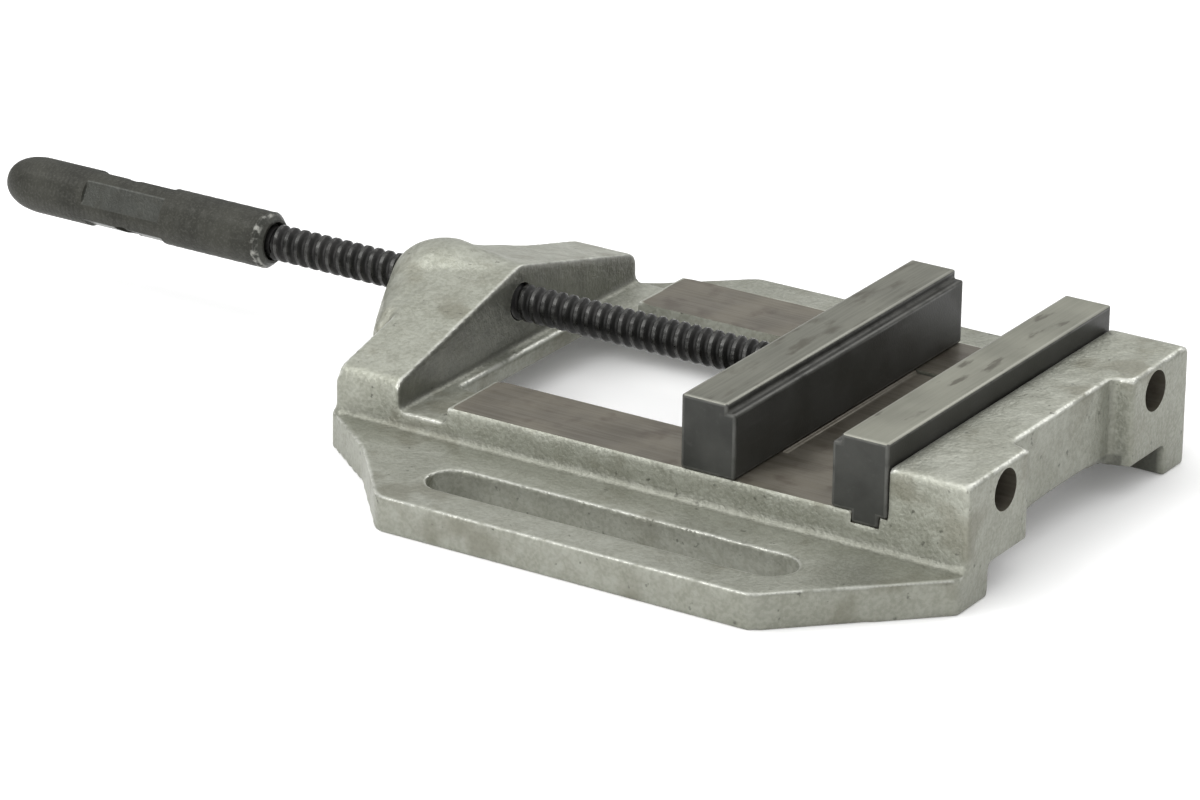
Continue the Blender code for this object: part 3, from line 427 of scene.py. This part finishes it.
# Casting ------------------------------------------------------------------------------------
def make_casting(cast, machined):
    """The CAD casting with stock left on it, softened as sand casting does, then machined."""
    bm = bmesh.new()
    bm.from_mesh(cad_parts["base_casting"].data)
    bmesh.ops.translate(bm, vec=-BED, verts=bm.verts)
    for side in (-1, 1):
        ends = sorted((side * OPENING_HALF, side * (HALF_BED - STOCK_INSET)))
        add_box(bm, (WAY_START + PAST, ends[0], WAY_UNDERSIDE + STOCK_INSET),
                (STOCK_INSET, ends[1], WAY_TOP + MACHINING_STOCK))
        start = (1 * MM, side * FIXED_SCREW_OFFSET, FIXED_SCREW_HEIGHT)
        add_rod(bm, COUNTERBORE_RADIUS + 0.2 * MM, start, END_WALL_THICKNESS)
    add_rod(bm, BORE_RADIUS + 0.3 * MM, (BOSS_END + 0.3 * MM, 0, SPINDLE_HEIGHT), TOWER_FACE)
    body = scratch_object(bm)
    remesh = body.modifiers.new("melt", "REMESH")
    remesh.mode = "VOXEL"
    remesh.voxel_size = CAST_VOXEL
    soften = body.modifiers.new("soften", "SMOOTH")
    soften.factor = 0.5
    soften.iterations = CAST_SMOOTHING
    apply_modifiers(body)
    mesh = body.data
    out = curvature(mesh, 1)
    points = vertex_vectors(mesh, "co")
    sink = np.array([0.5 + 0.5 * noise.noise(Vector(point) / CAST_WAVE) for point in points])
    sink[points[:, 2] < 1 * MM] = 0
    points -= vertex_vectors(mesh, "normal") * (sink * CAST_UNEVENNESS)[:, None]
    points = np.clip(points, *(np.array(corner) for corner in CAD_BOX))
    mesh.vertices.foreach_set("co", points.astype(np.float32).ravel())
    mesh.update()
    normals = vertex_vectors(mesh, "normal")
    # Outward edges that face up count for more, so the painted edge highlight sits where light from above
    # falls.
    upward = np.clip(normals[:, 2] * 1.6 + 0.3, 0.3, 1)
    store(mesh, "standing_out", np.where(out > 0, out * upward, out))
    x, y, z = points[:, 0] - BED.x, points[:, 1] - BED.y, points[:, 2]
    # Mask of painted shade: the tower's face, the opening's rear wall, the space under the ways, all low
    # parts and the faces turned to +X on the end wall.
    forward = np.clip(normals[:, 0] * 2 - 0.8, 0, 1)
    tower = forward * (np.abs(x - TOWER_FACE) < 3 * MM)
    opening = forward * 0.8 * (np.abs(x - WAY_START) < 3 * MM) * (np.abs(y) < OPENING_HALF)
    under = (np.abs(y) < HALF_BED - 3 * MM) & (z < 16 * MM)
    under &= (x > WAY_START) & (x < END_WALL_THICKNESS - 3 * MM)
    low = 0.3 * np.clip((24 * MM - z) / (14 * MM), 0, 1)
    front = 0.25 * forward * (x > 15 * MM)
    store(mesh, "painted_shade", np.maximum.reduce([0.85 * tower, opening, 0.85 * under, low, front]))

    tool = bmesh.new()
    add_box(tool, (WAY_START - PAST, -HALF_BED - PAST, WAY_TOP), (0, HALF_BED + PAST, JAW_TOP))
    cut(body, tool)
    tool = bmesh.new()
    add_box(tool, (GROOVE[0], -HALF_BED - PAST, GROOVE[2]), (GROOVE[1], HALF_BED + PAST, JAW_TOP))
    add_rod(tool, BORE_RADIUS, (BOSS_END - PAST, 0, SPINDLE_HEIGHT), TOWER_FACE + PAST)
    for side in (-1, 1):
        start = (END_WALL_THICKNESS - COUNTERBORE_DEPTH, side * FIXED_SCREW_OFFSET, FIXED_SCREW_HEIGHT)
        add_rod(tool, COUNTERBORE_RADIUS, start, END_WALL_THICKNESS + PAST)
    cut(body, tool)
    tool = bmesh.new()
    for side in (-1, 1):
        start = (-1 * MM, side * FIXED_SCREW_OFFSET, FIXED_SCREW_HEIGHT)
        add_rod(tool, SCREW_HOLE_RADIUS, start, END_WALL_THICKNESS)
    cut(body, tool)

    body.name = body.data.name = "bed_casting"
    mesh = body.data
    mesh.materials.clear()
    mesh.materials.append(cast)
    mesh.materials.append(machined)
    for face in mesh.polygons:
        x, y, z = face.center - BED
        up = face.normal.z
        way = abs(z - WAY_TOP) < NEAR and WAY_START < x < 1 * MM and up > 0.99
        groove = GROOVE[0] - 0.1 * MM < x < GROOVE[1] + 0.1 * MM and z > GROOVE[2] - 0.1 * MM
        bore = math.hypot(y, z - SPINDLE_HEIGHT) < BORE_RADIUS + NEAR and x < TOWER_FACE - 0.4 * MM
        from_screw = math.hypot(abs(y) - FIXED_SCREW_OFFSET, z - FIXED_SCREW_HEIGHT)
        sunk = from_screw < COUNTERBORE_RADIUS + NEAR and 0.1 * MM < x < END_WALL_THICKNESS - 0.4 * MM
        ground = up < -0.99 and z < 0.3 * MM
        if way or groove or bore or sunk or ground:
            face.material_index = 1
    smooth_by_angle(body, 35)
    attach(body, "bed")
    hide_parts("base_casting")


# Bars: the jaws and the guide block -----------------------------------------------------------
def bar_profile(corners, half, bm):
    """A prism along Y through (x, z) corners; soften_edges rounds and marks its edges afterwards."""
    ends = [[bm.verts.new((x, y, z)) for x, z in corners] for y in (-half, half)]
    for i in range(len(corners)):
        j = (i + 1) % len(corners)
        bm.faces.new((ends[0][i], ends[0][j], ends[1][j], ends[1][i]))
    bm.faces.new(ends[0][::-1])
    bm.faces.new(ends[1])
    bmesh.ops.recalc_face_normals(bm, faces=bm.faces)


def soften_edges(bm, width):
    """Rounds every edge, and keeps a border inside each face so that edge scuffs and painted edge highlights
    stay near its edges.
    """
    edge = bm.verts.layers.float.new("edge")
    bmesh.ops.bevel(bm, geom=bm.edges[:], offset=width, offset_type="OFFSET", segments=3, profile=0.5,
                    affect="EDGES", clamp_overlap=True)
    for vertex in bm.verts:
        vertex[edge] = 1
    flat = [face for face in bm.faces if min(side.calc_length() for side in face.edges) > 1.8 * width]
    bmesh.ops.inset_individual(bm, faces=flat, thickness=width * 0.9, use_even_offset=True)
    inner = {vertex for face in flat if face.is_valid for vertex in face.verts}
    for vertex in inner:
        vertex[edge] = 0


def make_jaw(name, face_x, back_x, body, top, black, end, back_material, replaced, tenon):
    inward = math.copysign(JAW_STEP, back_x - face_x)
    corners = [
        (face_x, JAW_FLOOR),
        (face_x, JAW_TOP - JAW_STEP),
        (face_x + inward, JAW_TOP - JAW_STEP),
        (face_x + inward, JAW_TOP),
        (back_x, JAW_TOP),
        (back_x, JAW_FLOOR),
    ]
    if tenon:
        corners += [(TENON[1], JAW_FLOOR), (TENON[1], TENON[2]), (TENON[0], TENON[2]), (TENON[0], JAW_FLOOR)]
    bm = bmesh.new()
    bar_profile(corners, HALF_BED, bm)
    soften_edges(bm, EDGE)
    jaw = add_piece(name, bm, body, replaced)
    if tenon:                                        # the carriage passes under the middle
        half = OPENING_HALF + 2 * MM
        tool = bmesh.new()
        add_box(tool, (TENON[0] - 2 * MM, -half, TENON[2] - 1 * MM), (TENON[1] + 2 * MM, half, JAW_FLOOR))
        cut(jaw, tool)
    mesh = jaw.data
    mesh.materials.clear()
    for material in (top, black, end, back_material):
        mesh.materials.append(material)
    for face in mesh.polygons:
        n = face.normal
        if n.z > 0.7 and face.center.z > JAW_TOP - 1 * MM:
            face.material_index = 0
        elif abs(n.y) > 0.7:
            face.material_index = 2
        elif n.x * (back_x - face_x) > 0.7:
            face.material_index = 3
        else:
            face.material_index = 1
    smooth_by_angle(jaw, 50)


def make_guide(machined):
    low, high = (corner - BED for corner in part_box("guide_block"))
    front_top = WAY_TOP - 1 * MM
    corners = [
        (low.x, low.z), (high.x, low.z), (high.x, front_top), (CARRIAGE_X + GAP, front_top),
        (CARRIAGE_X, WAY_TOP), (low.x, WAY_TOP),
    ]
    bm = bmesh.new()
    bar_profile(corners, high.y, bm)
    soften_edges(bm, EDGE)
    guide = add_piece("guide_slide", bm, "carriage", "guide_block")
    guide.data.materials.append(machined)
    smooth_by_angle(guide, 50)


# Spindle and grip ----------------------------------------------------------------------------
def screw_place(along, radius, angle):
    """A point on the spindle: along X from the movable jaw's back face, angle from +Y upwards."""
    return (SCREW_X + along, radius * math.cos(angle), SPINDLE_HEIGHT + radius * math.sin(angle))


def turned_rings(bm, profile, steps, edge):
    """Rings through (along, radius, edge mark), closed at both ends."""
    rings = []
    for along, radius, mark in profile:
        ring = []
        for i in range(steps):
            vertex = bm.verts.new(screw_place(along, radius, 2 * math.pi * i / steps))
            vertex[edge] = mark
            ring.append(vertex)
        rings.append(ring)
    for ring, following in zip(rings, rings[1:]):
        for i in range(steps):
            j = (i + 1) % steps
            bm.faces.new((ring[i], ring[j], following[j], following[i]))
    bm.faces.new(rings[0])
    bm.faces.new(rings[-1])


def make_spindle(material):
    """A right-hand thread swept round the rod, with plain ends that its neighbours hide."""
    bm = bmesh.new()
    edge = bm.verts.layers.float.new("edge")
    steps = 48
    root = SPINDLE_RADIUS - THREAD_DEPTH
    shoulder, fillet = SPINDLE_RADIUS - THREAD_BREAK, root + THREAD_FILLET
    profile = [  # share of the pitch, radius, edge mark
        (0.00, shoulder, 0.8), (0.06, SPINDLE_RADIUS, 1), (0.34, SPINDLE_RADIUS, 1), (0.40, shoulder, 0.8),
        (0.53, fillet, 0.1), (0.60, root, 0), (0.82, root, 0), (0.88, fillet, 0.1),
    ]
    low, high = -SPINDLE_LENGTH + 1 * MM, -SHOULDER
    turns = math.ceil((high - low) / THREAD_PITCH) + 2
    rows = []
    for i in range(turns * steps + 1):
        row = []
        for share, radius, mark in profile:
            along = low + THREAD_PITCH * (i / steps - 1 + share)
            inside = low <= along <= high
            place = screw_place(min(max(along, low), high), radius if inside else root,
                                2 * math.pi * i / steps)
            vertex = bm.verts.new(place)
            vertex[edge] = mark
            row.append(vertex)
        rows.append(row)
    for i in range(len(rows) - 1):
        row, following = rows[i], rows[i + 1]
        for j in range(len(profile) - 1):
            bm.faces.new((row[j], row[j + 1], following[j + 1], following[j]))
        if i + steps + 1 < len(rows):
            bm.faces.new((row[-1], rows[i + steps][0], rows[i + steps + 1][0], following[-1]))
    turned_rings(bm, [(low - TAIL, TAIL_RADIUS, 0), (low, TAIL_RADIUS, 0), (low, root - 0.1 * MM, 0),
                      (high, root - 0.1 * MM, 0), (high, NOSE_RADIUS, 0.3), (NOSE_LENGTH, NOSE_RADIUS, 0.3)],
                 steps, edge)
    spindle = add_piece("threaded_spindle", bm, "screw", "spindle")
    spindle.data.materials.append(material)
    smooth_by_angle(spindle, 40)


def grip_radius(back):
    """The grip's turned radius at a distance from its inner end."""
    if back < GRIP_CHAMFER:
        return GRIP_RADIUS - GRIP_CHAMFER_DEPTH * (1 - back / GRIP_CHAMFER)
    dome = GRIP_LENGTH - GRIP_DOME
    if back > dome:
        share = min((back - dome) / GRIP_DOME, 1)
        return GRIP_TIP_RADIUS + (GRIP_RADIUS - GRIP_TIP_RADIUS) * math.sqrt(max(0, 1 - share ** 2))
    return GRIP_RADIUS


def make_grip(material):
    """Turned rings from the socket round the outside to the dome, knurled but for the chamfer,
    the milled flats and the dome's end, with the bar hole cut through."""
    bm = bmesh.new()
    edge = bm.verts.layers.float.new("edge")
    bare = bm.verts.layers.float.new("bare")
    scuff_and_highlight = bm.verts.layers.float.new("scuff_and_highlight")
    steps = 128
    rows = 260
    mouth = SPINDLE_RADIUS + 0.5 * MM
    stations = [(GRIP_SOCKET, 0.01 * MM, False), (GRIP_SOCKET, mouth, False), (0, mouth, False)]
    for i in range(rows + 1):
        share = i / rows
        share = 1 - (1 - share) ** 1.15
        stations.append((GRIP_LENGTH * share, None, True))
    rings = []
    knurl_turns = round(2 * math.pi * GRIP_RADIUS / KNURL_STEP)
    for back, fixed, outside in stations:
        ring = []
        turned = grip_radius(back)
        milled = GRIP_FLAT_START < back < GRIP_FLAT_START + GRIP_FLAT_LENGTH
        for k in range(steps):
            angle = 2 * math.pi * k / steps
            radius, mark, smooth = fixed or turned, 0.0, 0.0
            if outside:
                quarter = (angle - GRIP_TURN + math.pi / 4) % (math.pi / 2) - math.pi / 4
                flat = GRIP_FLAT_REACH / math.cos(quarter)
                if milled and flat < turned:
                    radius, smooth = flat, 1.0
                    if flat > turned - 0.25 * MM:
                        mark = 1.0
                elif 3 * MM < back < GRIP_LENGTH - GRIP_DOME * 0.6:
                    one = math.sin(knurl_turns * angle + back * 2 * math.pi / KNURL_STEP)
                    two = math.sin(knurl_turns * angle - back * 2 * math.pi / KNURL_STEP)
                    raised = (one * two + 1) / 2
                    radius = turned - KNURL_DEPTH * (1 - raised)
                    mark = raised
                elif back <= 3 * MM:
                    smooth = 0.6
            vertex = bm.verts.new(screw_place(-SPINDLE_LENGTH - back, radius, angle))
            vertex[edge] = mark
            vertex[bare] = smooth
            # the ring by the chamfer carries scuffs and painted highlights
            vertex[scuff_and_highlight] = 1.0 if outside and 1.5 * MM < back < 4 * MM else 0.0
            ring.append(vertex)
        rings.append(ring)
    for ring, following in zip(rings, rings[1:]):
        for i in range(steps):
            j = (i + 1) % steps
            bm.faces.new((ring[i], ring[j], following[j], following[i]))
    bm.faces.new(rings[0])
    bm.faces.new(rings[-1])
    grip = add_piece("knurled_grip", bm, "screw", "handle_grip")

    tool = bmesh.new()
    reach = GRIP_RADIUS + 4 * MM
    made = bmesh.ops.create_cone(tool, cap_ends=True, segments=64, radius1=BAR_HOLE_RADIUS,
                                 radius2=BAR_HOLE_RADIUS, depth=2 * reach)["verts"]
    middle = Vector((SCREW_X - SPINDLE_LENGTH - GRIP_FLAT_START - GRIP_FLAT_LENGTH / 2, 0, SPINDLE_HEIGHT))
    turn = Matrix.Rotation(GRIP_TURN, 4, "X")
    bmesh.ops.transform(tool, matrix=Matrix.Translation(middle) @ turn, verts=made)
    cut(grip, tool)
    grip.data.materials.clear()
    grip.data.materials.append(material)
    smooth_by_angle(grip, 38)


# Stage ---------------------------------------------------------------------------------------
def make_floor():
    bm = bmesh.new()
    bmesh.ops.create_grid(bm, x_segments=2, y_segments=2, size=6)
    mesh = bpy.data.meshes.new("floor")
    bm.to_mesh(mesh)
    bm.free()
    floor = bpy.data.objects.new("floor", mesh)
    bpy.context.scene.collection.objects.link(floor)
    material = bpy.data.materials.new("floor")
    material.use_nodes = True
    shader = material.node_tree.nodes["Principled BSDF"]
    shader.inputs["Base Color"].default_value = (0.93, 0.93, 0.93, 1)
    shader.inputs["Roughness"].default_value = 0.9
    shader.inputs["Specular IOR Level"].default_value = 0.0
    shader.inputs["Emission Color"].default_value = (1, 1, 1, 1)
    shader.inputs["Emission Strength"].default_value = 0.1
    mesh.materials.append(material)


def add_light(name, place, target, size, power):
    light = bpy.data.lights.new(name, "AREA")
    light.shape = "RECTANGLE"
    light.size, light.size_y = size
    light.energy = power
    lamp = bpy.data.objects.new(name, light)
    lamp.location = place
    lamp.rotation_euler = (Vector(target) - Vector(place)).to_track_quat("-Z", "Y").to_euler()
    bpy.context.scene.collection.objects.link(lamp)


def make_studio():
    world = bpy.data.worlds.new("studio")
    bpy.context.scene.world = world
    world.use_nodes = True
    nodes, links = world.node_tree.nodes, world.node_tree.links
    split = nodes.new("ShaderNodeSeparateXYZ")
    links.new(nodes.new("ShaderNodeTexCoord").outputs["Generated"], split.inputs["Vector"])
    rise = nodes.new("ShaderNodeMapRange")           # darker towards the horizon
    rise.inputs["To Min"].default_value = 0.3
    rise.inputs["To Max"].default_value = 1.3
    links.new(split.outputs["Z"], rise.inputs["Value"])
    links.new(rise.outputs["Result"], nodes["Background"].inputs["Strength"])
    nodes["Background"].inputs["Color"].default_value = (1, 1, 1, 1)
    bpy.context.scene.view_settings.view_transform = "Standard"
    add_light("key", (-0.9, -0.5, 1.6), (0, 0, 0), (1.2, 1.2), 10)
    add_light("front", (-0.3, -1.8, 0.8), (0, 0, 0), (1.0, 0.5), 12)
    add_light("glint", (-1.0, -1.1, 1.8), (0, 0, 0), (0.4, 0.4), 3)
    add_light("back", (0.2, 1.4, 1.3), (0, 0, 0), (1.6, 0.5), 6)


def make_camera():
    """Looks down on the vise from the end wall's side, a little turned about its own axis."""
    heading, down, roll = 0.56458, 0.38433, 0.01313
    level = Matrix.Rotation(heading, 3, "Z") @ Matrix.Rotation(math.pi / 2 - down, 3, "X")
    turned = level @ Matrix.Rotation(roll, 3, "Z")
    camera = bpy.data.cameras.new("camera")
    camera.lens = 181.7
    camera.sensor_width = 36
    camera.clip_end = 50
    eye = bpy.data.objects.new("camera", camera)
    eye.matrix_world = Matrix.Translation(BED + Vector((0.8768, -1.6321, 0.7865))) @ turned.to_4x4()
    bpy.context.scene.collection.objects.link(eye)
    bpy.context.scene.camera = eye


def repaint(node, material):
    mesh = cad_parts[node]
    for material_slot in mesh.material_slots:
        material_slot.material = material


def make_scene():
    cast = cast_material()
    machined = machined_material()
    black = blackened_material("jaw_black", (0.026, 0.026, 0.022), (0.048, 0.048, 0.043), 0.3)
    end = blackened_material("jaw_end", (0.030, 0.031, 0.028), (0.052, 0.053, 0.048), 0.35)
    dark_screw = small_metal_material("screw_black", (0.012, 0.012, 0.012), (0.035, 0.035, 0.034), 0.35)
    steel = small_metal_material("bright_steel", (0.34, 0.34, 0.33), (0.55, 0.55, 0.53), 0.28)
    make_casting(cast, machined)
    make_jaw("fixed_jaw_bar", FIXED_BOX[0].x - BED.x, FIXED_BOX[1].x - BED.x, "bed",
             ground_material("ground_fixed", 0.9, 0.12), black, end, end, "fixed_jaw", True)
    make_jaw("movable_jaw_bar", CARRIAGE_X, SCREW_X, "carriage",
             ground_material("ground_movable", 0.6, 0.45), black, end, end, "movable_jaw", False)
    make_guide(machined)
    make_spindle(thread_material())
    make_grip(grip_material())
    repaint("keeper_plate", machined)
    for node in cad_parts:
        if "_screw_" in node:
            repaint(node, steel if node.startswith("keeper") else dark_screw)
        elif node.startswith(("jaw_dowel", "retaining_pin", "thrust_washer", "handle_pin")):
            repaint(node, steel)


make_camera()
make_studio()
make_floor()
make_scene()
